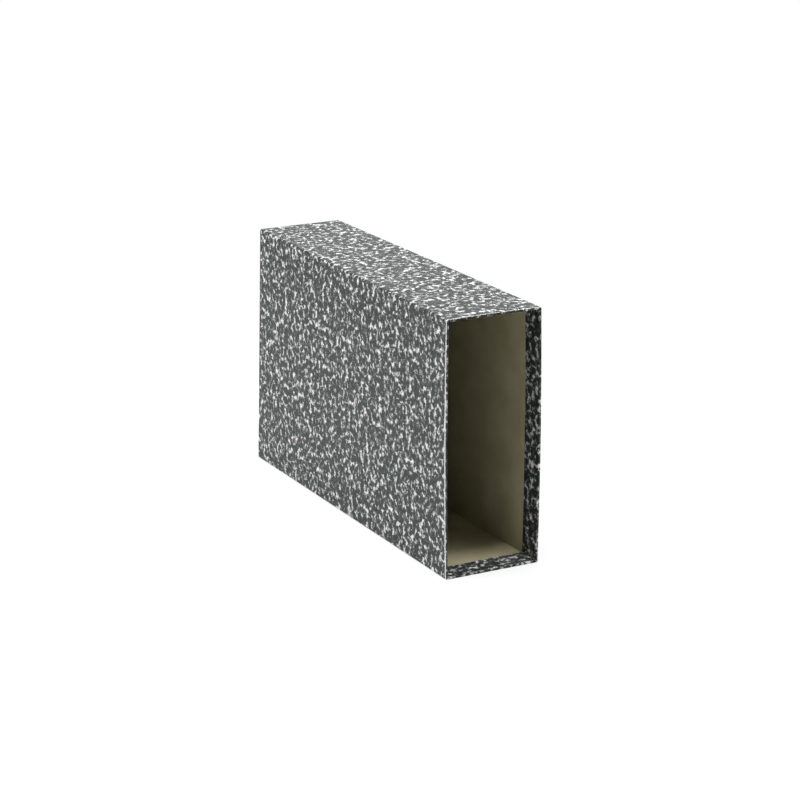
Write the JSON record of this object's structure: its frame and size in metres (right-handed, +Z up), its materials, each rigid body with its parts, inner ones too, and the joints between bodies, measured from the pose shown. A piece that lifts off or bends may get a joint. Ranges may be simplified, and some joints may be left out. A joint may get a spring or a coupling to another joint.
{
  "type": "binder slipcase",
  "caption": "Upright box with one open end that holds a landscape lever-arch binder, folded from greyboard and covered with marbled paper turned in at the mouth.",
  "frame": {"origin": "middle of the resting face, on the centre lines of the covered case's width and depth", "axes": "+X across the spine width, to the right seen from the mouth; +Y from the mouth to the closed back; +Z up, along the height of the binder"},
  "size_m": [0.072, 0.299, 0.18],
  "materials": {
    "greyboard": "bare khaki greyboard, matt and slightly fibrous",
    "marbled_paper": "black and white cloud-marbled covering paper with a low satin sheen"
  },
  "bodies": {
    "root": {"board_case": "greyboard", "cover_wrap": "marbled_paper", "back_paper": "marbled_paper"}
  },
  "joints": []
}
